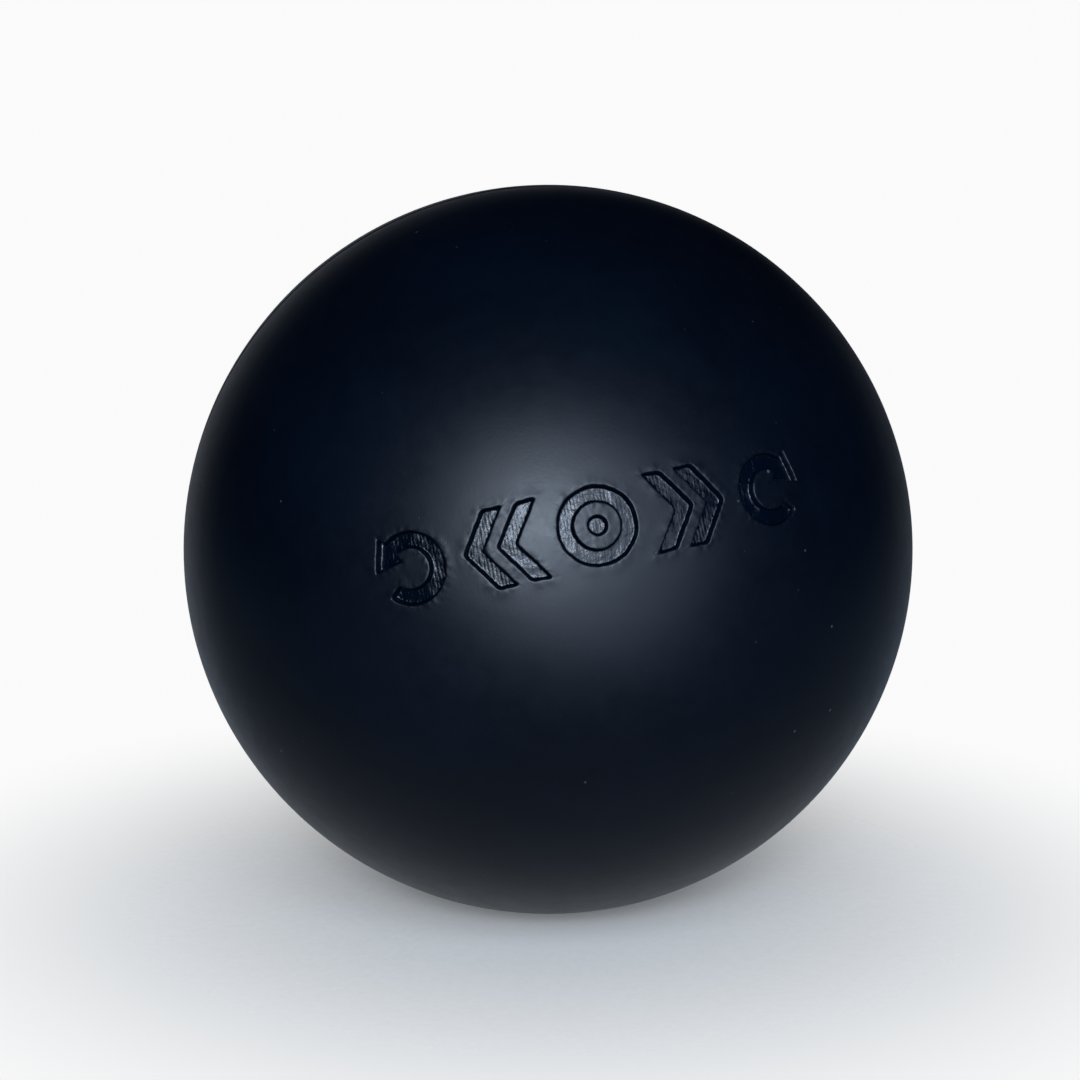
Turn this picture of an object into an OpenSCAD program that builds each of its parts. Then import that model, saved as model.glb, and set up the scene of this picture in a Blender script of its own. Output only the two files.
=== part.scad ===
// Inflatable rubber friction ball for opening and closing screw-back watch cases.
//
// The ball is pressed by hand onto a screwed case back and turned; its soft, tacky cover grips the metal.
// It is a butyl bladder holding air, covered by two thick moulded rubber half shells that are cemented
// together along the equator, with a self-sealing needle valve at the rear pole.
//
// Frame: millimetres, +Z up, origin at the ball's centre. The mould's draw axis is Y, so the seam lies in
// the plane y = 0. The moulded mark is on the front half (-Y), and the valve is at the rear pole (+Y).

/* [Ball] */
// Outside diameter of the inflated ball
ball_d = 63.5; // [58:0.5:72]
// Thickness of the moulded rubber cover
cover_t = 5; // [4:0.25:6]
// Thickness of the vulcanised cement layer between the two half shells
seam_t = 0.3; // [0.2:0.05:0.5]

/* [Bladder] */
// Wall thickness of the air-tight bladder
bladder_t = 1.2; // [0.8:0.1:2]

/* [Valve] */
// Diameter of the valve housing's neck, which shows at the rear pole
neck_d = 9; // [8:0.25:11]
// Diameter of the flange that bonds the housing to the inside of the bladder
flange_d = 20; // [16:0.5:24]
// Thickness of that flange
flange_t = 1.5; // [1:0.1:2]
// How far the neck's end sits below the cover's surface
neck_recess = 0.3; // [0.1:0.05:0.5]
// Diameter of the replaceable valve core
core_d = 5.2; // [4.6:0.1:6]
// Length of the valve core
core_l = 13; // [11:0.5:15]
// Diameter of the passage for a standard inflation needle
needle_d = 2; // [1.8:0.1:2.2]
// Length of the passage's straight wall, below its funnel
needle_l = 9; // [7:0.5:9]

/* [Mark] */
// Height of the moulded turn-to-open mark
mark_h = 6.3; // [5:0.1:8]
// Width of the mark's strokes
stroke = 1.3; // [1:0.05:1.5]
// Depth of the mark below the cover's surface
mark_depth = 0.7; // [0.3:0.05:1]
// Height of the mark's centre above the front pole, in degrees
mark_elevation = 15; // [0:1:30]
// Slant of the mark's line, rising to the right, in degrees
mark_slant = 11; // [-30:1:30]

/* [Hidden] */
$fn = 128;
ball_r = ball_d / 2;
cover_in_r = ball_r - cover_t;
bladder_in_r = cover_in_r - bladder_t;
neck_r = neck_d / 2;
neck_end = ball_r - neck_recess;

// The valve housing's socket, which reaches inwards from the bladder's inner surface
socket_l = 7;
socket_end = bladder_in_r - socket_l;

// The valve core: its outer face, retaining rib, funnel and tapered inner end
core_r = core_d / 2;
core_recess = 0.4;
core_face = neck_end - core_recess;
rib_r = core_r + 0.45;
rib_l = 1.6;
rib_y = core_face - 7;
funnel_r = 1.7;
funnel_l = 0.8;
taper_l = 1.6;
taper_r = core_r - 0.8;
needle_r = needle_d / 2;
needle_mouth = core_face - funnel_l;

// The mark's signs: how far each stands from the middle, in millimetres of arc along the mark's line
chevron_at = [mark_h * 0.97, mark_h * 1.4];
turn_at = mark_h * 2.4;

// The ring with a dot, and how far a chevron's tip leads its feet
ring_r = mark_h / 2;
dot_r = stroke * 0.6;
chevron_run = mark_h * 0.34;

// The turning arrow: its arc's middle radius, the angles its gap spans, and its head
turn_r = mark_h * 0.36;
turn_gap = [-42, 52];
head_l = mark_h * 0.36;
head_half = mark_h * 0.23;

// Turns +Z onto the draw axis, +Y
module along_draw() {
    rotate([-90, 0, 0]) children();
}

// A round bar on the draw axis from y0 to y1, with radii r0 and r1 at its ends
module draw_bar(y0, y1, r0, r1) {
    along_draw() translate([0, 0, y0]) cylinder(h = y1 - y0, r1 = r0, r2 = r1);
}

module hollow_ball(outer_r, inner_r) {
    difference() {
        sphere(r = outer_r);
        sphere(r = inner_r);
    }
}

// The half of space with y at or above y0
module beyond(y0) {
    translate([-ball_d, y0, -ball_d]) cube([2 * ball_d, 2 * ball_d, 2 * ball_d]);
}

// An open ring with an arrowhead on one end, turning clockwise
module turn_sign() {
    difference() {
        circle(r = turn_r + stroke / 2);
        circle(r = turn_r - stroke / 2);
        polygon([
            [0, 0],
            mark_h * [cos(turn_gap[0]), sin(turn_gap[0])],
            mark_h * [2, 0],
            mark_h * [cos(turn_gap[1]), sin(turn_gap[1])]
        ]);
    }
    rotate(turn_gap[1]) polygon([
        [turn_r - head_half, 0],
        [turn_r - stroke / 4, -head_l],
        [turn_r + head_half, 0],
        [turn_r + stroke / 4, 0.2],
        [turn_r - stroke / 4, 0.2]
    ]);
}

// A chevron that points along +X, with arms of the stroke's width
module chevron_sign() {
    foot = -chevron_run / 2;
    width = stroke * norm([chevron_run, mark_h / 2]) / (mark_h / 2);
    polygon([
        [foot - width / 2, mark_h / 2],
        [foot + width / 2, mark_h / 2],
        [-foot + width / 2, 0],
        [foot + width / 2, -mark_h / 2],
        [foot - width / 2, -mark_h / 2],
        [-foot - width / 2, 0]
    ]);
}

module ring_sign() {
    difference() {
        circle(r = ring_r);
        circle(r = ring_r - stroke);
    }
    circle(r = dot_r);
}

// Stands a flat sign on the mark's line, s millimetres of arc to the right of the middle
module on_line(s) {
    rotate([-mark_elevation, 0, 0])
        rotate([0, -mark_slant, 0])
            rotate([0, 0, s / ball_r * 180 / PI])
                rotate([90, 0, 0])
                    translate([0, 0, ball_r - 3])
                        linear_extrude(height = 4) children();
}

module mark_prisms() {
    on_line(0) ring_sign();
    for (side = [-1, 1]) {
        for (place = chevron_at) on_line(side * place) scale([side, 1]) chevron_sign();
        on_line(side * turn_at) scale([side, 1]) turn_sign();
    }
}

module cover_front_half() {
    color([0.05, 0.06, 0.08]) difference() {
        hollow_ball(ball_r, cover_in_r);
        beyond(-seam_t / 2);
        intersection() {
            mark_prisms();
            hollow_ball(ball_r + 2, ball_r - mark_depth);
        }
    }
}

module cover_rear_half() {
    color([0.05, 0.06, 0.08]) difference() {
        intersection() {
            hollow_ball(ball_r, cover_in_r);
            beyond(seam_t / 2);
        }
        draw_bar(0, ball_d, neck_r, neck_r);
    }
}

module seam_cement() {
    color([0.12, 0.12, 0.13]) difference() {
        draw_bar(-seam_t / 2, seam_t / 2, ball_r, ball_r);
        draw_bar(-seam_t, seam_t, cover_in_r, cover_in_r);
    }
}

module bladder() {
    color([0.16, 0.16, 0.17]) along_draw() difference() {
        hollow_ball(cover_in_r, bladder_in_r);
        cylinder(h = ball_d, r = neck_r);
    }
}

module valve_housing() {
    color([0.1, 0.1, 0.11]) difference() {
        union() {
            intersection() {
                hollow_ball(bladder_in_r, bladder_in_r - flange_t);
                draw_bar(0, ball_d, flange_d / 2, flange_d / 2);
            }
            intersection() {
                draw_bar(socket_end, ball_r, neck_r, neck_r);
                sphere(r = neck_end);
            }
        }
        draw_bar(socket_end - 1, ball_r + 1, core_r, core_r);
        draw_bar(rib_y, rib_y + rib_l, rib_r, rib_r);
    }
}

module valve_core() {
    inner_end = core_face - core_l;
    color([0.2, 0.2, 0.21]) difference() {
        union() {
            draw_bar(inner_end, inner_end + taper_l, taper_r, core_r);
            draw_bar(inner_end + taper_l, core_face, core_r, core_r);
            draw_bar(rib_y, rib_y + rib_l, rib_r, rib_r);
        }
        draw_bar(needle_mouth - needle_l, ball_r, needle_r, needle_r);
        draw_bar(needle_mouth, core_face + 0.01, needle_r, funnel_r);
    }
}

cover_front_half();
cover_rear_half();
seam_cement();
bladder();
valve_housing();
valve_core();
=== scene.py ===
# Looks of the friction ball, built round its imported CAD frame. Lengths are millimetres until a mesh is made,
# and metres for the lamps and the camera. The frame is the CAD part's: +Z up, origin at the ball's centre,
# the mould's draw axis along Y, the marked half at -Y and the valve at +Y.

import math

import bmesh
import bpy
import numpy as np
from mathutils import Matrix, Vector, noise
from mathutils.geometry import delaunay_2d_cdt
from mathutils.kdtree import KDTree


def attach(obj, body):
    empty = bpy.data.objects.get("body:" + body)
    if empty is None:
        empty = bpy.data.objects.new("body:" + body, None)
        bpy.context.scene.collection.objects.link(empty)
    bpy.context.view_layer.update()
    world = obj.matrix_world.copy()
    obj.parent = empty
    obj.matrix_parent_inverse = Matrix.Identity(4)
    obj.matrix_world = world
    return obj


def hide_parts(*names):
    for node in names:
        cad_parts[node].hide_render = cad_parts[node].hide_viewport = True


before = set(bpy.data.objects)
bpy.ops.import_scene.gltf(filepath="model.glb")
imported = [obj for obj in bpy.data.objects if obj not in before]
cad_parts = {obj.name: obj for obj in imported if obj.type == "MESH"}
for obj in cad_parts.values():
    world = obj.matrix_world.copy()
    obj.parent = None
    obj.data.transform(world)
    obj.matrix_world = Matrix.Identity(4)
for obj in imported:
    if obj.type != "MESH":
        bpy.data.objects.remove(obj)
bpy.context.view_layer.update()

MM = 0.001
FULL_TURN = 2 * math.pi
TINY = 1e-9
SAME_POINT = 1e-5

# The ball, as in the CAD part
BALL_R = 31.75
COVER_IN_R = 26.75
BLADDER_IN_R = 25.55
SEAM_HALF = 0.15
NECK_R = 4.5
NECK_END_R = 31.45
FLANGE_R = 10.0
FLANGE_IN_R = 24.05
SOCKET_END = 18.55
CORE_R = 2.6
CORE_FACE = 31.05
CORE_END = 18.05
CORE_TAPER_R = 1.8
CORE_TAPER_L = 1.6
RIB_R = 3.05
RIB_FROM, RIB_TO = 24.05, 25.65
NEEDLE_R = 1.0
NEEDLE_END = 21.25
FUNNEL_R = 1.7
FUNNEL_L = 0.8

# The moulded mark, as in the CAD part
MARK_H = 6.3
STROKE = 1.3
MARK_ELEVATION = math.radians(15)
MARK_SLANT = math.radians(11)
CHEVRON_AT = (MARK_H * 0.97, MARK_H * 1.4)
TURN_AT = MARK_H * 2.4
RING_R = MARK_H / 2
DOT_R = STROKE * 0.6
CHEVRON_RUN = MARK_H * 0.34
TURN_R = MARK_H * 0.36
TURN_GAP = (math.radians(-42), math.radians(52))
HEAD_L = MARK_H * 0.36
HEAD_HALF = MARK_H * 0.23

# How the mark's edge goes down: (distance outside its outline, height above the ball)
MARK_DEPTH = 0.70
EDGE = (
    (0.18, 0.0),
    (0.10, -0.002),
    (0.05, -0.014),
    (0.015, -0.045),
    (-0.01, -0.11),
    (-0.035, -0.27),
    (-0.06, -0.45),
    (-0.085, -0.59),
    (-0.12, -0.655),
    (-0.17, -0.69),
    (-0.24, -MARK_DEPTH),
)
RIM = 0.30  # where the mark's rounded edge meets the skin, outside the outline
SPACING = 0.11  # of the points along an outline
SOFTENINGS = 5  # rounds of smoothing for an outline's corners

# The rounded edge where each half meets the seam: (radius, distance from the seam's middle)
SEAM_EDGE = (
    (31.735, 0.32),
    (31.722, 0.25),
    (31.695, 0.195),
    (31.655, 0.163),
    (31.60, SEAM_HALF),
    (30.5, SEAM_HALF),
)
SKIN_END = 0.42  # where the round skin ends, from the seam's middle
OUTSIDE_FROM = 31.5  # only points further out than this are made uneven

# Mesh sizes: points round a ring, rings along an arc, and grid steps in millimetres
AROUND = 224
SKIN_RINGS = 84
COVER_INSIDE_RINGS = 15
BLADDER_RINGS = 60
FLANGE_RINGS = 6
FILLET_POINTS = 7
SIGN_STEP, SIGN_CLEARANCE = 0.2, 0.09  # the mark's floors
FINE_STEP, FINE_CLEARANCE, FINE_REACH = 0.3, 0.13, 1.9  # the skin's grid beside the mark
FINE_RIGHT, FINE_LOW, FINE_HIGH = 24, -2, 18  # the flat map's part that can hold the mark
COARSE_STEP = 0.9
BORDER_CLEARANCE = 0.5


# ---------------------------------------------------------------- meshes


class Shell:
    """Points in millimetres and faces, which become one smooth mesh."""

    def __init__(self):
        self.points = []
        self.faces = []

    def add(self, point):
        self.points.append(Vector(point))
        return len(self.points) - 1

    def bridge(self, a, b):
        """Faces between two closed loops, or between a loop and a single point."""
        if len(a) == 1:
            a, b = b, a
        n = len(a)
        for i in range(n):
            j = (i + 1) % n
            if len(b) == 1:
                self.faces.append((a[i], a[j], b[0]))
            else:
                self.faces.append((a[i], a[j], b[j], b[i]))

    def build(self, name):
        used = sorted({i for f in self.faces for i in f})
        new = {old: i for i, old in enumerate(used)}
        mesh = bpy.data.meshes.new(name)
        mesh.from_pydata(
            [self.points[i] * MM for i in used],
            [],
            [tuple(new[i] for i in f) for f in self.faces],
        )
        work = bmesh.new()
        work.from_mesh(mesh)
        bmesh.ops.recalc_face_normals(work, faces=work.faces)
        work.to_mesh(mesh)
        work.free()
        mesh.shade_smooth()
        obj = bpy.data.objects.new(name, mesh)
        bpy.context.scene.collection.objects.link(obj)
        return obj


def turned(shell, r, y, wobble=None):
    """A loop of points round the Y axis, or one point on it."""
    if r == 0:
        return [shell.add((0, y, 0))]
    ring = []
    for i in range(AROUND):
        a = FULL_TURN * i / AROUND
        p = Vector((r * math.cos(a), y, r * math.sin(a)))
        if wobble:
            p = wobble(p)
        ring.append(shell.add(p))
    return ring


def turn(shell, profile, wobble=None):
    """Revolves a closed profile of (radius, y) points about Y."""
    rings = [turned(shell, r, y, wobble) for r, y in profile]
    for a, b in zip(rings, rings[1:] + rings[:1]):
        if len(a) > 1 or len(b) > 1:
            shell.bridge(a, b)


def arc_points(r, start, end, count):
    """(radius from Y, y) points on a sphere of radius r, by angle from the +Y pole."""
    angles = np.linspace(math.radians(start), math.radians(end), count)
    return [(r * math.sin(a), r * math.cos(a)) for a in angles]


def fillet(before, corner, after, r):
    """Points that round a corner of a profile by radius r."""
    before, corner, after = Vector(before), Vector(corner), Vector(after)
    u, v = (before - corner).normalized(), (after - corner).normalized()
    half = u.angle(v) / 2
    reach = r / math.tan(half)
    start, end = corner + u * reach, corner + v * reach
    centre = corner + (u + v).normalized() * (r / math.sin(half))
    points = []
    for i in range(FILLET_POINTS):
        t = i / (FILLET_POINTS - 1)
        p = centre + ((start - centre).lerp(end - centre, t)).normalized() * r
        points.append((p.x, p.y))
    return points


def polar(r, degrees_from_y):
    """One (radius from Y, y) point on a sphere of radius r."""
    a = math.radians(degrees_from_y)
    return (r * math.sin(a), r * math.cos(a))


def reached_at(distance, r):
    """The angle from the Y axis, in degrees, where a sphere of radius r is that far from the axis."""
    return math.degrees(math.asin(distance / r))


def level_at(y, r):
    """The angle from the Y axis, in degrees, where a sphere of radius r is at that y."""
    return math.degrees(math.acos(y / r))


def wave(p, per_mm=1.0, shift=(0, 0, 0)):
    """Smooth noise between -1 and 1."""
    return noise.noise(p * per_mm + Vector(shift))


# ---------------------------------------------------------------- the mark's outlines


def line(p, q):
    return ("line", Vector(p), Vector(q))


def arc(r, start, end):
    return ("arc", r, start, end)


def ends(piece):
    """Where a piece of outline starts and stops."""
    if piece[0] == "line":
        return piece[1], piece[2]
    _, r, *angles = piece
    return [Vector((r * math.cos(a), r * math.sin(a))) for a in angles]


def moved(piece, d):
    """The piece of outline, d further from the mark's inside, which lies on its left."""
    if piece[0] == "line":
        _, p, q = piece
        along = (q - p).normalized()
        out = Vector((along.y, -along.x)) * d
        return ("line", p + out, q + out)
    _, r, a, b = piece
    return ("arc", r + d if b > a else r - d, a, b)


def meet(a, b, near):
    """Where two pieces of outline cross, nearest to a point."""
    if a[0] == "arc":
        a, b = b, a
    p, along = a[1], (a[2] - a[1]).normalized()
    if b[0] == "line":
        other = (b[2] - b[1]).normalized()
        cross = along.x * other.y - along.y * other.x
        gap = b[1] - p
        return p + along * ((gap.x * other.y - gap.y * other.x) / cross)
    middle = -p.dot(along)
    foot = p + along * middle
    half = math.sqrt(max(b[1] ** 2 - foot.length_squared, 0))
    crossings = [foot + along * half, foot - along * half]
    return min(crossings, key=lambda c: (c - near).length)


def outline(pieces, d):
    """The closed outline, moved outwards by d, as evenly spaced points with softened corners."""
    shifted = [moved(p, d) for p in pieces]
    corners = [
        None if len(pieces) == 1 else meet(shifted[i - 1], shifted[i], ends(pieces[i])[0])
        for i in range(len(pieces))
    ]
    points = []
    for i, (piece, new) in enumerate(zip(pieces, shifted)):
        first, last = ends(piece)
        if piece[0] == "line":
            count = max(2, round((last - first).length / SPACING))
            a, b = corners[i], corners[(i + 1) % len(pieces)]
            points += [a.lerp(b, k / count) for k in range(count)]
            continue
        _, r, start, end = new
        count = max(8, round(piece[1] * abs(end - start) / SPACING))
        if len(pieces) > 1:
            a, b = corners[i], corners[(i + 1) % len(pieces)]
            start += math.remainder(math.atan2(a.y, a.x) - start, FULL_TURN)
            end += math.remainder(math.atan2(b.y, b.x) - end, FULL_TURN)
        for k in range(count):
            t = start + (end - start) * k / count
            points.append(Vector((r * math.cos(t), r * math.sin(t))))
    if len(pieces) > 1:
        n = len(points)
        for _ in range(SOFTENINGS):
            points = [
                points[k] * 0.5 + (points[k - 1] + points[(k + 1) % n]) * 0.25
                for k in range(n)
            ]
    return points


def ring_sign():
    """A ring with a dot. A sign is a list of areas, each an outer outline and perhaps a hole's outline."""
    return [
        [[arc(RING_R, 0, FULL_TURN)], [arc(RING_R - STROKE, FULL_TURN, 0)]],
        [[arc(DOT_R, 0, FULL_TURN)]],
    ]


def chevron_sign():
    """A chevron that points to the right."""
    foot = -CHEVRON_RUN / 2
    half = STROKE * math.hypot(CHEVRON_RUN, MARK_H / 2) / MARK_H
    corners = [
        (foot - half, MARK_H / 2),
        (-foot - half, 0),
        (foot - half, -MARK_H / 2),
        (foot + half, -MARK_H / 2),
        (-foot + half, 0),
        (foot + half, MARK_H / 2),
    ]
    return [[[line(p, q) for p, q in zip(corners, corners[1:] + corners[:1])]]]


def turn_sign():
    """An arrow that turns round, with its head at the lower end of its arc."""
    low, high = TURN_GAP[1], TURN_GAP[0] + FULL_TURN
    inner, outer = TURN_R - STROKE / 2, TURN_R + STROKE / 2

    def at(r, back, angle):
        """A point at radius r, and back along the arrow's way, in the frame of an angle."""
        c, s = math.cos(angle), math.sin(angle)
        return (r * c + back * s, r * s - back * c)

    tip = at(TURN_R - STROKE / 4, HEAD_L, low)
    head_in, head_out = at(TURN_R - HEAD_HALF, 0, low), at(TURN_R + HEAD_HALF, 0, low)
    return [
        [
            [
                arc(outer, low, high),
                line(at(outer, 0, high), at(inner, 0, high)),
                arc(inner, high, low),
                line(at(inner, 0, low), head_in),
                line(head_in, tip),
                line(tip, head_out),
                line(head_out, at(outer, 0, low)),
            ]
        ]
    ]


def sign_frame(along):
    """Turns a sign's own plane (right, up, out) onto the mark's line."""
    return (
        Matrix.Rotation(-MARK_ELEVATION, 3, "X")
        @ Matrix.Rotation(-MARK_SLANT, 3, "Y")
        @ Matrix.Rotation(along / BALL_R, 3, "Z")
        @ Matrix.Rotation(math.pi / 2, 3, "X")
    )


# ---------------------------------------------------------------- the ball's skin


SKIN_BELOW, SLOW_WAVE, QUICK_WAVE = -0.012, 0.008, 0.004


def hollowing(p):
    """The moulded skin's slow waviness, never above the true ball."""
    return SKIN_BELOW + SLOW_WAVE * wave(p, 0.16) + QUICK_WAVE * wave(p, 0.55, (9, 3, 5))


LIP_HEIGHT, LIP_AT, LIP_WIDTH = 0.036, 0.22, 0.45
LIP_NEAREST = 0.1  # points nearer to the outline, or inside it, have the lip's height at this distance
NO_LIP = 9.0


def swelling(p, away):
    """The uneven lip that the rubber raised beside the mark."""
    patch = 0.45 + 0.9 * wave(p, 0.8, (4, 8, 1))
    patch += 0.8 * wave(p, 2.1, (1, 3, 9)) + 0.6 * wave(p, 4.3)
    return LIP_HEIGHT * max(patch, 0) * math.exp(-(((away - LIP_AT) / LIP_WIDTH) ** 2))


def skin(direction, away=NO_LIP, extra=0.0):
    """A point of the cover's skin, by its distance outside the mark's outline, raised by extra."""
    p = direction.normalized() * BALL_R
    return p * ((BALL_R + hollowing(p) + swelling(p, away) + extra) / BALL_R)


WOBBLE, FINE_WOBBLE = 0.045, 0.034
WOBBLE_PER_MM, FINER = 0.9, 3.1
WOBBLE_APART = 40  # sets each sign's unevenness apart from the others'


def on_sign(place, point):
    """A point of a sign's plane, on the ball. The mould's outline is slightly uneven."""
    matrix, side = place
    at = Vector((point.x * WOBBLE_PER_MM, point.y * WOBBLE_PER_MM, matrix[0][0] * WOBBLE_APART))
    point = point + Vector((wave(at), wave(at, shift=(5, 11, 3)))) * WOBBLE
    point = point + Vector((wave(at, FINER), wave(at, FINER, (7, 2, 9)))) * FINE_WOBBLE
    return matrix @ Vector((side * point.x, point.y, math.sqrt(BALL_R**2 - point.length_squared)))


def to_map(p):
    """A flat map of the front half: distance and bearing from the -Y pole."""
    away = math.acos(max(-1.0, min(1.0, -p.y / p.length))) * BALL_R
    flat = math.hypot(p.x, p.z)
    return Vector((p.x, p.z)) * (away / flat) if flat > TINY else Vector((0, 0))


def from_map(q):
    """The direction of a point of that map, seen from the ball's centre."""
    away = q.length / BALL_R
    if away < TINY:
        return Vector((0, -1, 0))
    x, z = (c / q.length * math.sin(away) for c in q)
    return Vector((x, -math.cos(away), z))


def inside(points, loop):
    """Which of an array of flat points lie inside a closed loop."""
    x, y = points[:, 0], points[:, 1]
    odd = np.zeros(len(points), bool)
    xs = np.array([p[0] for p in loop])
    ys = np.array([p[1] for p in loop])
    for i in range(len(loop)):
        x0, y0, x1, y1 = xs[i - 1], ys[i - 1], xs[i], ys[i]
        crosses = (y0 > y) != (y1 > y)
        with np.errstate(divide="ignore", invalid="ignore"):
            odd ^= crosses & (x < (x1 - x0) * (y - y0) / (y1 - y0) + x0)
    return odd


def within(points, region):
    """Inside a region's outer loop and outside its hole, if it has one."""
    found = inside(points, region[0])
    for hole in region[1:]:
        found &= ~inside(points, hole)
    return found


def within_any(points, regions):
    return np.any([within(points, region) for region in regions], axis=0)


def triangles(loops, extra):
    """Fills the plane round closed loops and loose points.

    Gives each triangle as indices into the loops' points and then the loose ones, and each one's middle.
    """
    points, edges = [], []
    for loop in loops:
        first = len(points)
        points += [Vector((p[0], p[1])) for p in loop]
        n = len(loop)
        edges += [(first + k, first + (k + 1) % n) for k in range(n)]
    points += [Vector((p[0], p[1])) for p in extra]
    out, _, faces, origin, _, _ = delaunay_2d_cdt(points, edges, [], 0, SAME_POINT, True)
    places = [o[0] if o else None for o in origin]
    if None in places:
        raise RuntimeError("two outlines of the mark cross")
    flat = np.array([(p.x, p.y) for p in out])
    middles = np.array([flat[list(f)].mean(0) for f in faces])
    return [tuple(places[i] for i in f) for f in faces], middles


def hexagons(low, high, step):
    """Points of a triangular grid over a flat box."""
    found = []
    row = 0
    y = low[1]
    while y < high[1]:
        x = low[0] + (step / 2 if row % 2 else 0)
        while x < high[0]:
            found.append((x, y))
            x += step
        y += step * math.sqrt(3) / 2
        row += 1
    return found


def nearest(points):
    """A search tree over flat points."""
    tree = KDTree(len(points))
    for i, q in enumerate(points):
        tree.insert((q[0], q[1], 0), i)
    tree.balance()
    return tree


def distance(tree, q):
    return tree.find((q[0], q[1], 0))[2]


def lay_skin(shell, rims, regions):
    """Fills the front half's skin between the mark's rims and a border near the seam, which it gives."""
    border_r = math.radians(level_at(SKIN_END, BALL_R)) * BALL_R
    border = [
        Vector((math.cos(a), math.sin(a))) * border_r
        for a in (FULL_TURN * i / AROUND for i in range(AROUND))
    ]
    rim_loops = [[to_map(shell.points[i]) for i in rim] for rim in rims]
    tree = nearest([q for loop in rim_loops for q in loop])
    loose, away = [], []
    for step, near, far in (
        (FINE_STEP, FINE_CLEARANCE, FINE_REACH),
        (COARSE_STEP, FINE_REACH, math.inf),
    ):
        grid = hexagons((-border_r, -border_r), (border_r, border_r), step)
        if step == FINE_STEP:
            grid = [q for q in grid if abs(q[0]) < FINE_RIGHT and FINE_LOW < q[1] < FINE_HIGH]
        for q in grid:
            gap = distance(tree, q)
            if near <= gap < far and math.hypot(*q) < border_r - BORDER_CLEARANCE:
                loose.append(q)
                away.append(gap + RIM)
    covered = within_any(np.array(loose), regions)
    loose = [q for q, c in zip(loose, covered) if not c]
    away = [a for a, c in zip(away, covered) if not c]

    faces, middles = triangles(rim_loops + [border], loose)
    border_ids = [shell.add(skin(from_map(q))) for q in border]
    index = [i for rim in rims for i in rim] + border_ids
    index += [shell.add(skin(from_map(Vector(q)), a)) for q, a in zip(loose, away)]
    covered = within_any(middles, regions)
    shell.faces += [tuple(index[i] for i in f) for f, c in zip(faces, covered) if not c]
    return border_ids


def front_half():
    """The marked half: the signs' rims, walls and floors, the skin round them, the seam and the inside."""
    shell = Shell()
    places = [(0.0, 1, ring_sign())]
    for side in (-1, 1):
        places += [(side * at, side, chevron_sign()) for at in CHEVRON_AT]
        places += [(side * TURN_AT, side, turn_sign())]

    rims, regions = [], []
    for along, side, areas in places:
        place = (sign_frame(along), side)
        for area in areas:
            bottoms, region = [], []
            for pieces in area:
                rim = [shell.add(skin(on_sign(place, q), RIM)) for q in outline(pieces, RIM)]
                rims.append(rim)
                region.append([to_map(shell.points[i]) for i in rim])
                last = rim
                for d, height in EDGE:
                    flat = outline(pieces, d)
                    spots = [on_sign(place, q) for q in flat]
                    away = max(d, LIP_NEAREST)
                    ring = [shell.add(skin(p, away, wall_height(p, height))) for p in spots]
                    shell.bridge(last, ring)
                    last = ring
                bottoms.append((flat, last))
            regions.append(region)
            lay_floor(shell, place, bottoms)

    last = lay_skin(shell, rims, regions)
    start = level_at(SEAM_HALF, COVER_IN_R)
    for r, y in (*SEAM_EDGE, *arc_points(COVER_IN_R, start, 0, COVER_INSIDE_RINGS)):
        ring = turned(shell, r, -y, uneven_seam)
        shell.bridge(last, ring)
        last = ring
    return shell.build("cover_front_skin")


DEPTH_WAVE, FINE_DEPTH_WAVE = 0.03, 0.02
SHALLOWER = 0.22  # the share of its depth that the mark loses at its right end
SHALLOWER_FROM, SHALLOWER_OVER = -2, 16


def wall_height(p, height):
    """The mark's own depth, a little uneven as moulded rubber is, and shallower towards its right end."""
    share = min(1, -height / MARK_DEPTH)
    uneven = DEPTH_WAVE * wave(p, 0.9, (2, 2, 7)) + FINE_DEPTH_WAVE * wave(p, 3.3)
    rightwards = min(1, max(0, (p.x - SHALLOWER_FROM) / SHALLOWER_OVER))
    return height * (1 - SHALLOWER * rightwards) + share * uneven


def lay_floor(shell, place, bottoms):
    """Closes a sign with a floor parallel to the ball's surface."""
    region = [flat for flat, _ in bottoms]
    low = [min(q[k] for flat in region for q in flat) for k in (0, 1)]
    high = [max(q[k] for flat in region for q in flat) for k in (0, 1)]
    grid = np.array(hexagons(low, high, SIGN_STEP))
    tree = nearest([q for flat in region for q in flat])
    keep = within(grid, region)
    loose = [q for q, k in zip(grid, keep) if k and distance(tree, q) > SIGN_CLEARANCE]
    faces, middles = triangles(region, loose)
    index = [i for _, ids in bottoms for i in ids]
    for q in loose:
        p = on_sign(place, Vector(q))
        index.append(shell.add(skin(p, LIP_NEAREST, wall_height(p, -MARK_DEPTH))))
    keep = within(middles, region)
    shell.faces += [tuple(index[i] for i in f) for f, k in zip(faces, keep) if k]


SEAM_DIP = 0.014


def uneven_seam(p):
    """Buffing left the seam's edge slightly uneven."""
    depth = p.xz.length
    if depth < OUTSIDE_FROM:
        return p
    dip = SEAM_DIP * (wave(p, 0.5) - 0.6)
    return Vector((p.x * (1 + dip / depth), p.y, p.z * (1 + dip / depth)))


PORT_LIP = 0.32
LIP_GAP = 0.6  # degrees between the last ring of round skin and the lip
PORT_WALL = (30.2, 29.0)  # heights of points down the port's wall, which keep its shading even
PORT_DOWN = 28  # a height further down, which only gives the wall's direction


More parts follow.
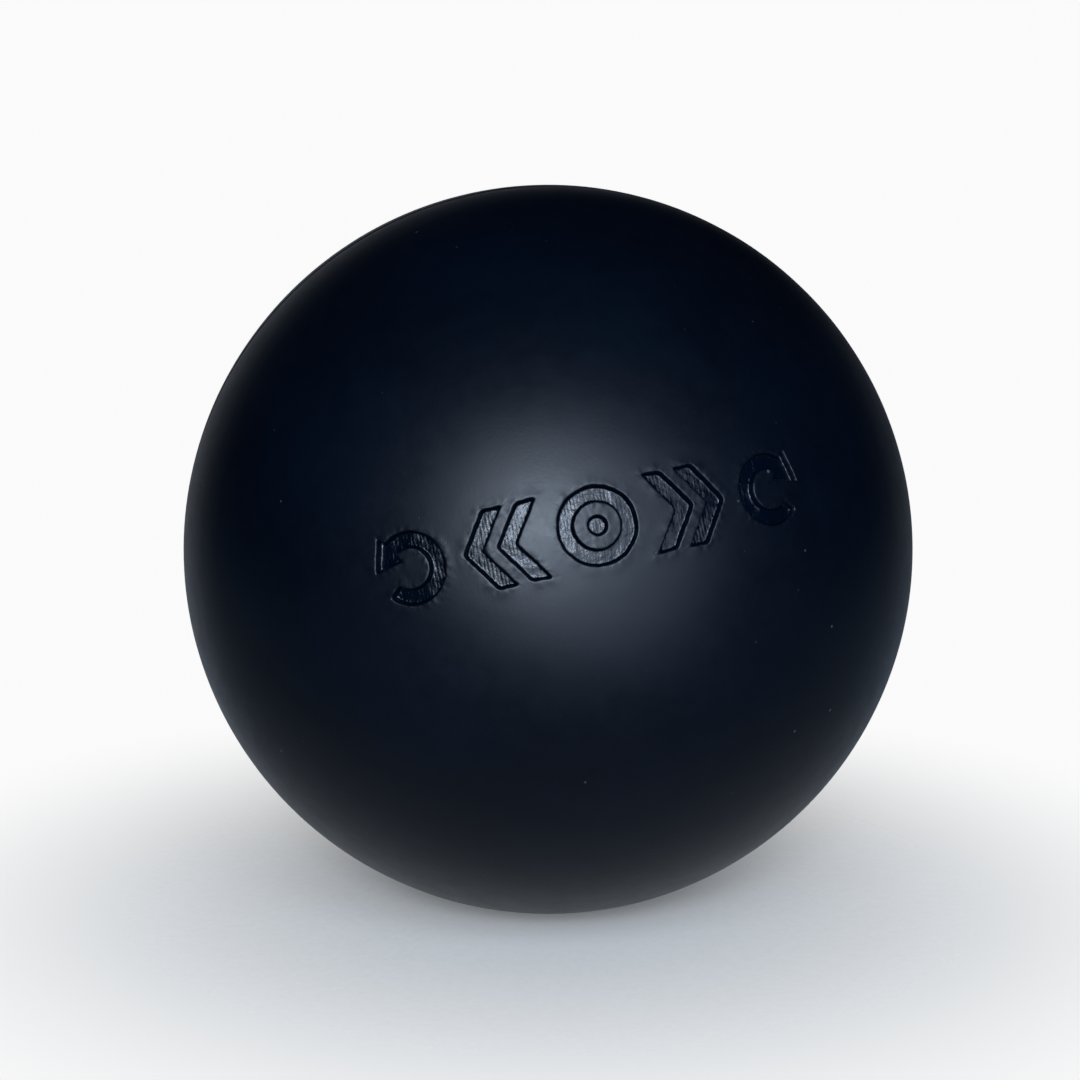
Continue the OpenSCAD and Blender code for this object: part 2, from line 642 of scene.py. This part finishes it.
def rear_half():
    """The half with the valve's port, from the seam over the outside, down the port and back inside."""
    shell = Shell()
    port = reached_at(NECK_R, BALL_R)
    lip = fillet(polar(BALL_R, port + 4), polar(BALL_R, port), (NECK_R, PORT_DOWN), PORT_LIP)
    lip_start = math.degrees(math.atan2(*lip[0]))
    outside = arc_points(BALL_R, level_at(SKIN_END, BALL_R), lip_start + LIP_GAP, SKIN_RINGS)
    profile = lip + [(NECK_R, y) for y in PORT_WALL]
    profile += arc_points(
        COVER_IN_R,
        reached_at(NECK_R, COVER_IN_R),
        level_at(SEAM_HALF, COVER_IN_R),
        COVER_INSIDE_RINGS,
    )
    profile += list(reversed(SEAM_EDGE))
    rings = [turned(shell, r, y, skin) for r, y in outside]
    rings += [turned(shell, r, y, uneven_seam) for r, y in profile]
    for a, b in zip(rings, rings[1:] + rings[:1]):
        shell.bridge(a, b)
    return shell.build("cover_rear_skin")


# One side of the cement line's buffed profile: (radius, distance from the seam's middle)
BEAD = ((31.58, SEAM_HALF), (31.63, 0.12), (31.655, 0.06))
BEAD_TOP = 31.663
BEAD_WAVE = 0.03


def seam_bead():
    """The cement line between the halves."""

    def uneven(p):
        if p.xz.length < OUTSIDE_FROM:
            return p
        rise = BEAD_WAVE * wave(p, 1.1, (5, 1, 2))
        k = 1 + rise / p.xz.length
        return Vector((p.x * k, p.y, p.z * k))

    shell = Shell()
    profile = [(COVER_IN_R, -SEAM_HALF)] + [(r, -y) for r, y in BEAD] + [(BEAD_TOP, 0)]
    profile += list(reversed(BEAD)) + [(COVER_IN_R, SEAM_HALF)]
    turn(shell, profile, uneven)
    return shell.build("seam_bead")


def bladder_skin():
    """The butyl bladder, open where the valve's neck goes through it."""
    shell = Shell()
    outer_hole = reached_at(NECK_R, COVER_IN_R)
    inner_hole = reached_at(NECK_R, BLADDER_IN_R)
    profile = arc_points(COVER_IN_R, outer_hole, 180, BLADDER_RINGS)[:-1] + [(0, -COVER_IN_R)]
    profile += [(0, -BLADDER_IN_R)]
    profile += arc_points(BLADDER_IN_R, 180, inner_hole, BLADDER_RINGS)[1:]
    turn(shell, profile)
    return shell.build("bladder_skin")


RIB = [(CORE_R, RIB_FROM), (RIB_R, RIB_FROM), (RIB_R, RIB_TO), (CORE_R, RIB_TO)]
CHAMFER = 0.3
HEAD_FACE_FROM, HEAD_FACE_TO = 5.9, 7.2  # the domed face, in degrees from the axis
HEAD_FACE_RINGS = 6
HEAD_MOUTH_EDGE, HEAD_OUTER_EDGE = 0.22, 0.3
HEAD_DOWN = 29  # a height down its walls, which only gives their direction
NECK_WALL, SOCKET_WALL = 28.5, 28.0  # heights of points down its walls, which keep their shading even


def valve_head():
    """The housing: a domed face in the cover's port, its flange inside the bladder, and its socket."""
    shell = Shell()
    mouth = math.sqrt(NECK_END_R**2 - CORE_R**2)
    edge = math.sqrt(NECK_END_R**2 - NECK_R**2)
    root = math.sqrt(BLADDER_IN_R**2 - NECK_R**2)
    angles = np.linspace(HEAD_FACE_FROM, HEAD_FACE_TO, HEAD_FACE_RINGS)
    face = [polar(NECK_END_R, a) for a in angles]
    profile = fillet(face[0], (CORE_R, mouth), (CORE_R, HEAD_DOWN), HEAD_MOUTH_EDGE)[::-1]
    profile += face
    profile += fillet(face[-1], (NECK_R, edge), (NECK_R, HEAD_DOWN), HEAD_OUTER_EDGE)
    profile += [(NECK_R, NECK_WALL), (NECK_R, root)]
    start, end = (reached_at(r, BLADDER_IN_R) for r in (NECK_R, FLANGE_R))
    profile += arc_points(BLADDER_IN_R, start, end, FLANGE_RINGS)[1:]
    start, end = (reached_at(r, FLANGE_IN_R) for r in (FLANGE_R, NECK_R))
    profile += arc_points(FLANGE_IN_R, start, end, FLANGE_RINGS)
    profile += [(NECK_R, SOCKET_END + CHAMFER), (NECK_R - CHAMFER, SOCKET_END), (CORE_R, SOCKET_END)]
    profile += RIB + [(CORE_R, SOCKET_WALL)]
    turn(shell, profile)
    return shell.build("valve_head")


CORE_EDGE, FUNNEL_EDGE, FUNNEL_ROOT_EDGE = 0.25, 0.2, 0.25
CORE_WALL, NEEDLE_WALL = 29.5, 27
NEEDLE_DOWN = 25  # a height down the passage, which only gives its direction


def valve_plug():
    """The self-sealing core, with its rib, needle passage and lead-in."""
    shell = Shell()
    funnel_end = CORE_FACE - FUNNEL_L
    lip, root = (FUNNEL_R, CORE_FACE), (NEEDLE_R, funnel_end)
    profile = [(0, CORE_END), (CORE_TAPER_R - CHAMFER, CORE_END), (CORE_TAPER_R, CORE_END + CHAMFER)]
    profile += [(CORE_R, CORE_END + CORE_TAPER_L)] + RIB + [(CORE_R, CORE_WALL)]
    profile += fillet((CORE_R, CORE_WALL), (CORE_R, CORE_FACE), (0, CORE_FACE), CORE_EDGE)
    profile += fillet((CORE_R, CORE_FACE), lip, root, FUNNEL_EDGE)
    profile += fillet(lip, root, (NEEDLE_R, NEEDLE_DOWN), FUNNEL_ROOT_EDGE)
    profile += [(NEEDLE_R, NEEDLE_WALL), (NEEDLE_R, NEEDLE_END), (0, NEEDLE_END)]
    turn(shell, profile)
    return shell.build("valve_plug")


# ---------------------------------------------------------------- materials


class Look:
    """One node material whose patterns are laid out in millimetres of the frame."""

    def __init__(self, name):
        self.material = bpy.data.materials.new(name)
        self.material.use_nodes = True
        self.tree = self.material.node_tree
        self.surface = self.tree.nodes["Principled BSDF"]
        place = self.add("ShaderNodeTexCoord")
        self.mm = self.vector("SCALE", place.outputs["Object"], scale=1 / MM)

    def add(self, kind, **settings):
        node = self.tree.nodes.new(kind)
        for key, value in settings.items():
            setattr(node, key, value)
        return node

    def feed(self, socket, value):
        if isinstance(value, bpy.types.NodeSocket):
            self.tree.links.new(value, socket)
        else:
            socket.default_value = value

    def vector(self, operation, a, b=None, scale=None):
        node = self.add("ShaderNodeVectorMath", operation=operation)
        self.feed(node.inputs[0], a)
        if b is not None:
            self.feed(node.inputs[1], b)
        if scale is not None:
            self.feed(node.inputs["Scale"], scale)
        return node.outputs["Value" if operation == "LENGTH" else "Vector"]

    def math(self, operation, a, b):
        node = self.add("ShaderNodeMath", operation=operation)
        self.feed(node.inputs[0], a)
        self.feed(node.inputs[1], b)
        return node.outputs[0]

    def ramp(self, value, low, high, to_low=0.0, to_high=1.0, smooth=False):
        node = self.add("ShaderNodeMapRange")
        node.interpolation_type = "SMOOTHSTEP" if smooth else "LINEAR"
        for key, v in (("Value", value), ("From Min", low), ("From Max", high)):
            self.feed(node.inputs[key], v)
        self.feed(node.inputs["To Min"], to_low)
        self.feed(node.inputs["To Max"], to_high)
        return node.outputs[0]

    def noise(self, per_mm, detail=2.0, roughness=0.5, where=None, warp=0.0):
        node = self.add("ShaderNodeTexNoise")
        self.feed(node.inputs["Vector"], where or self.mm)
        self.feed(node.inputs["Scale"], per_mm)
        self.feed(node.inputs["Detail"], detail)
        self.feed(node.inputs["Roughness"], roughness)
        self.feed(node.inputs["Distortion"], warp)
        return node.outputs["Fac"]

    def dots(self, per_mm, inner, outer, smooth=False):
        """One round dot in each cell, and two random tones of the cell."""
        cells = self.add("ShaderNodeTexVoronoi")
        self.feed(cells.inputs["Vector"], self.mm)
        self.feed(cells.inputs["Scale"], per_mm)
        tones = self.add("ShaderNodeSeparateColor")
        self.feed(tones.inputs[0], cells.outputs["Color"])
        dot = self.ramp(cells.outputs["Distance"], inner, outer, 1.0, 0.0, smooth=smooth)
        return dot, tones.outputs[0], tones.outputs[1]

    def along_mark(self, scale=(1, 1, 1)):
        """Millimetres turned to the slant of the mark's line."""
        node = self.add("ShaderNodeMapping")
        self.feed(node.inputs["Vector"], self.mm)
        node.inputs["Rotation"].default_value = (0, MARK_SLANT, 0)
        node.inputs["Scale"].default_value = scale
        return node.outputs[0]

    def mix(self, share, a, b):
        node = self.add("ShaderNodeMix", data_type="RGBA")
        self.feed(node.inputs["Factor"], share)
        self.feed(node.inputs[6], a)
        self.feed(node.inputs[7], b)
        return node.outputs[2]

    def blend(self, share, a, b):
        node = self.add("ShaderNodeMix", data_type="FLOAT")
        self.feed(node.inputs["Factor"], share)
        self.feed(node.inputs[2], a)
        self.feed(node.inputs[3], b)
        return node.outputs[0]

    def bump(self, height, mm, onto=None):
        node = self.add("ShaderNodeBump")
        self.feed(node.inputs["Height"], height)
        self.feed(node.inputs["Distance"], mm * MM)
        if onto is not None:
            self.feed(node.inputs["Normal"], onto)
        return node.outputs["Normal"]

    def finish(self, colour, roughness, normal, specular):
        self.feed(self.surface.inputs["Base Color"], colour)
        self.feed(self.surface.inputs["Roughness"], roughness)
        self.feed(self.surface.inputs["Normal"], normal)
        self.surface.inputs["Specular IOR Level"].default_value = specular
        return self.material


DARK = (0.0001, 0.0006, 0.0017, 1)
BLOOM = (0.0002, 0.0010, 0.0026, 1)
DUST = (0.018, 0.021, 0.025, 1)
COVER_SPECULAR = 0.125
SKIN_ROUGH = 0.365
SUNK_FROM, SUNK_TO = 0.09, 0.30  # depths below the ball between which skin turns into the mark's floor
# Heights of the fine relief, in millimetres
GRAIN, FINE_GRAIN, PIT = 0.0045, 0.006, -0.016
STREAK, MOTTLE, TOOL_LINE = 0.023, 0.043, 0.009
STREAK_SCALE = (5.5, 0.6, 0.7)
TOOL_WAVE = {"Scale": 1.16, "Distortion": 1.6, "Detail": 2.0, "Detail Scale": 2.2}
DUSTY_CELLS = 0.72  # only cells with a higher tone have a speck of dust
PIT_DUST = 0.22  # how much of a pit's colour is dust


def cover_look():
    """Matte rubber with a faint bloom, dust and pits, and smoother, tool-marked floors in the mark."""
    look = Look("cover_rubber")
    slow = look.noise(0.07, 3, 0.55)
    patches = look.noise(0.45, 4, 0.6, warp=0.4)
    fine = look.noise(3.2, 3, 0.6)
    grain = look.noise(9.0, 2, 0.5)

    # the mark's sunk surfaces: mottle, and streaks and fine tool lines that stand upright in the mark
    depth = look.math("SUBTRACT", BALL_R, look.vector("LENGTH", look.mm))
    sunk = look.ramp(depth, SUNK_FROM, SUNK_TO, smooth=True)
    streaks = look.noise(1.0, 3, 0.6, where=look.along_mark(STREAK_SCALE))
    mottle = look.noise(2.2, 3, 0.65)
    tool = look.add("ShaderNodeTexWave", wave_type="BANDS", bands_direction="X")
    look.feed(tool.inputs["Vector"], look.along_mark())
    for key, value in TOOL_WAVE.items():
        tool.inputs[key].default_value = value
    worn = look.ramp(look.noise(0.35, 2, 0.5), 0.35, 0.65)
    lines = look.math("MULTIPLY", tool.outputs["Fac"], worn)

    # rare specks of pale dust, and many faint pits left by the mould
    dot, tone, _ = look.dots(0.34, 0.030, 0.055)
    speck = look.math("MULTIPLY", dot, look.math("GREATER_THAN", tone, DUSTY_CELLS))
    dot, _, tone = look.dots(0.52, 0.028, 0.062, smooth=True)
    pit = look.math("MULTIPLY", dot, look.ramp(tone, 0.45, 1.0))

    colour = look.mix(look.ramp(slow, 0.35, 0.65), DARK, BLOOM)
    colour = look.mix(look.ramp(patches, 0.5, 0.75, 0.0, 0.35), colour, BLOOM)
    colour = look.mix(speck, colour, DUST)
    colour = look.mix(look.math("MULTIPLY", pit, PIT_DUST), colour, DUST)

    skin_rough = look.math("ADD", SKIN_ROUGH, look.ramp(patches, 0.3, 0.7, -0.02, 0.03))
    skin_rough = look.math("ADD", skin_rough, look.ramp(fine, 0.3, 0.7, -0.015, 0.015))
    streak_rough = look.ramp(streaks, 0.3, 0.7, 0.11, 0.20)
    floor_rough = look.math("ADD", streak_rough, look.ramp(mottle, 0.3, 0.7, -0.02, 0.05))
    roughness = look.blend(sunk, skin_rough, floor_rough)

    normal = look.bump(grain, GRAIN)
    normal = look.bump(fine, FINE_GRAIN, normal)
    normal = look.bump(pit, PIT, normal)
    streaks, mottle = look.math("MULTIPLY", streaks, STREAK), look.math("MULTIPLY", mottle, MOTTLE)
    relief = look.math("ADD", streaks, mottle)
    relief = look.math("ADD", relief, look.math("MULTIPLY", lines, TOOL_LINE))
    normal = look.bump(look.math("MULTIPLY", relief, sunk), 1.0, normal)
    return look.finish(colour, roughness, normal, COVER_SPECULAR)


PLAIN_GRAIN = 0.006
PLAIN_SPECULAR = 0.4


def plain_rubber(name, dark, pale, rough, per_mm=0.6):
    """Patchy rubber with a fine grain, for what lies behind the skin."""
    look = Look(name)
    patches = look.noise(per_mm, 4, 0.6)
    fine = look.noise(6.0, 3, 0.6)
    colour = look.mix(look.ramp(patches, 0.35, 0.7), (*dark, 1), (*pale, 1))
    roughness = look.math("ADD", rough, look.ramp(fine, 0.3, 0.7, -0.04, 0.04))
    return look.finish(colour, roughness, look.bump(fine, PLAIN_GRAIN), PLAIN_SPECULAR)


# ---------------------------------------------------------------- the object

cover = cover_look()
valve_rubber = plain_rubber("valve_rubber", (0.006, 0.008, 0.011), (0.012, 0.015, 0.019), 0.46)
core_rubber = plain_rubber("core_rubber", (0.012, 0.013, 0.015), (0.022, 0.023, 0.025), 0.40)
cement = plain_rubber("seam_cement", (0.004, 0.006, 0.010), (0.009, 0.012, 0.017), 0.55, 1.4)
butyl = plain_rubber("bladder_butyl", (0.010, 0.010, 0.011), (0.018, 0.018, 0.020), 0.5)

for make, look, slot, stands_for in (
    (front_half, cover, "cover_rubber", "cover_front_half"),
    (rear_half, cover, "cover_rubber", "cover_rear_half"),
    (seam_bead, cement, "seam_cement", "seam_cement"),
    (bladder_skin, butyl, "bladder_butyl", "bladder"),
    (valve_head, valve_rubber, "valve_rubber", "valve_housing"),
    (valve_plug, core_rubber, "core_rubber", "valve_core"),
):
    piece = make()
    piece.data.materials.append(look)
    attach(piece, "root")
    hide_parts(stands_for)


# ---------------------------------------------------------------- studio

scene = bpy.context.scene

FLOOR_R = 80.0
FLOOR_RINGS, FLOOR_AROUND = 30, 96
FLOOR_FADE_FROM, FLOOR_FADE_TO = 6, 0.88 * FLOOR_R
FLOOR_GLOW = 0.08
FLOOR_ROUGH = 0.9
FLOOR_GRAIN = 0.01
FLOOR_PALE = (0.342, 0.318, 0.288, 1)
FLOOR_PALER = (0.362, 0.338, 0.306, 1)


def make_floor():
    """The pale table right under the ball, which fades into the white backdrop."""
    shell = Shell()
    rings = [[shell.add((0, 0, -BALL_R))]]
    for k in range(1, FLOOR_RINGS + 1):
        r = FLOOR_R * k / FLOOR_RINGS
        angles = [FULL_TURN * i / FLOOR_AROUND for i in range(FLOOR_AROUND)]
        rings.append([shell.add((r * math.cos(a), r * math.sin(a), -BALL_R)) for a in angles])
    for a, b in zip(rings, rings[1:]):
        shell.bridge(b, a)
    floor = shell.build("studio_floor")
    look = Look("studio_paper")
    tooth = look.noise(1.5, 3, 0.6)
    away = look.vector("LENGTH", look.vector("MULTIPLY", look.mm, (1, 1, 0)))
    fade = look.ramp(away, FLOOR_FADE_FROM, FLOOR_FADE_TO, 1.0, 0.0, smooth=True)
    look.feed(look.surface.inputs["Alpha"], fade)
    look.feed(look.surface.inputs["Emission Color"], (1, 1, 1, 1))
    look.surface.inputs["Emission Strength"].default_value = FLOOR_GLOW
    pale = look.mix(look.ramp(tooth, 0.3, 0.7), FLOOR_PALE, FLOOR_PALER)
    floor.data.materials.append(look.finish(pale, FLOOR_ROUGH, look.bump(tooth, FLOOR_GRAIN), 0.0))
    return floor


floor = make_floor()


def direction(azimuth, elevation):
    """A unit vector by two angles in degrees. Azimuth 0 is on the mark's side."""
    a, e = math.radians(azimuth), math.radians(elevation)
    return Vector((math.sin(a) * math.cos(e), -math.cos(a) * math.cos(e), math.sin(e)))


KEY_TINT = (0.78, 0.92, 1.11)
RIGHT_TINT = (0.77, 0.96, 1.27)
# Round soft lamps that face the ball: name, azimuth, elevation, distance and width in metres, power, colour
LAMPS = (
    ("key_centre", -10.5, 19.7, 0.60, 0.16, 4.0, KEY_TINT),
    ("key_left", -10.5, 19.7, 0.60, 0.59, 6.3, KEY_TINT),
    ("key_right", 7.8, 12.6, 0.62, 0.76, 5.8, RIGHT_TINT),
    ("behind", 176.5, -7.3, 0.30, 0.075, 0.29, KEY_TINT),
)
for name, azimuth, elevation, distance_m, size, power, colour in LAMPS:
    data = bpy.data.lights.new(name, "AREA")
    data.shape = "DISK"
    data.size = size
    data.energy = power
    data.color = colour
    way = direction(azimuth, elevation)
    lamp = bpy.data.objects.new(name, data)
    lamp.location = way * distance_m
    lamp.rotation_euler = way.to_track_quat("Z", "Y").to_euler()
    lamp.visible_camera = False
    scene.collection.objects.link(lamp)

PAPER_WHITE = 0.96
# The room's glow by height: (share of the way up, colour)
LOW_GLOW = (0.32, (0.155, 0.198, 0.26, 1))
HIGH_GLOW = (0.47, (0.0002, 0.0003, 0.0006, 1))
# Glows behind the ball: direction, half-angles where each is nothing and full, colour
GLOWS = (
    ((-0.12, 0.976, -0.18), 34, 14, (0.24, 0.26, 0.29, 1)),
    ((0.52, 0.82, -0.20), 24, 8, (0.09, 0.105, 0.13, 1)),
)


def make_world():
    """Plain white to the camera, and a dim room to everything else."""
    world = bpy.data.worlds.new("studio")
    scene.world = world
    world.use_nodes = True
    nodes, link = world.node_tree.nodes, world.node_tree.links.new
    nodes.clear()
    place = nodes.new("ShaderNodeTexCoord").outputs["Generated"]
    split = nodes.new("ShaderNodeSeparateXYZ")
    link(place, split.inputs[0])
    height = nodes.new("ShaderNodeMapRange")
    height.inputs["From Min"].default_value = -1
    link(split.outputs["Z"], height.inputs["Value"])
    glow = nodes.new("ShaderNodeValToRGB")
    for stop, (position, colour) in zip(glow.color_ramp.elements, (LOW_GLOW, HIGH_GLOW)):
        stop.position = position
        stop.color = colour
    link(height.outputs[0], glow.inputs[0])
    lit = glow.outputs[0]
    for way, wide, narrow, colour in GLOWS:
        toward = nodes.new("ShaderNodeVectorMath")
        toward.operation = "DOT_PRODUCT"
        toward.inputs[1].default_value = Vector(way).normalized()
        link(place, toward.inputs[0])
        patch = nodes.new("ShaderNodeMapRange")
        patch.interpolation_type = "SMOOTHSTEP"
        patch.inputs["From Min"].default_value = math.cos(math.radians(wide))
        patch.inputs["From Max"].default_value = math.cos(math.radians(narrow))
        link(toward.outputs["Value"], patch.inputs["Value"])
        joined = nodes.new("ShaderNodeMix")
        joined.data_type = "RGBA"
        joined.blend_type = "ADD"
        joined.inputs[7].default_value = colour
        link(patch.outputs[0], joined.inputs["Factor"])
        link(lit, joined.inputs[6])
        lit = joined.outputs[2]
    room = nodes.new("ShaderNodeBackground")
    link(lit, room.inputs["Color"])
    paper = nodes.new("ShaderNodeBackground")
    paper.inputs["Color"].default_value = (1.0, 1.0, 1.0, 1)
    paper.inputs["Strength"].default_value = PAPER_WHITE
    mixer = nodes.new("ShaderNodeMixShader")
    link(nodes.new("ShaderNodeLightPath").outputs["Is Camera Ray"], mixer.inputs[0])
    link(room.outputs[0], mixer.inputs[1])
    link(paper.outputs[0], mixer.inputs[2])
    link(mixer.outputs[0], nodes.new("ShaderNodeOutputWorld").inputs["Surface"])


CAMERA_AZIMUTH, CAMERA_ELEVATION = -7, 11.6
CAMERA_AWAY, CAMERA_LEFT, CAMERA_UP = 0.254, 0.0007, 0.0008
LENS, SENSOR = 96.5, 36
CLIP_START, CLIP_END = 0.01, 50


def make_camera():
    """A long lens close to the ball, shifted a little to place it in the frame."""
    data = bpy.data.cameras.new("camera")
    data.lens = LENS
    data.sensor_width = SENSOR
    data.clip_start = CLIP_START
    data.clip_end = CLIP_END
    data.dof.use_dof = False
    back = direction(CAMERA_AZIMUTH, CAMERA_ELEVATION)
    facing = back.to_track_quat("Z", "Y")
    right, up = facing @ Vector((1, 0, 0)), facing @ Vector((0, 1, 0))
    camera = bpy.data.objects.new("camera", data)
    camera.rotation_euler = facing.to_euler()
    camera.location = back * CAMERA_AWAY - right * CAMERA_LEFT + up * CAMERA_UP
    scene.collection.objects.link(camera)
    scene.camera = camera


make_world()
make_camera()
scene.view_settings.view_transform = "Standard"
scene.view_settings.look = "None"
scene.view_settings.exposure = 0
scene.view_settings.gamma = 1
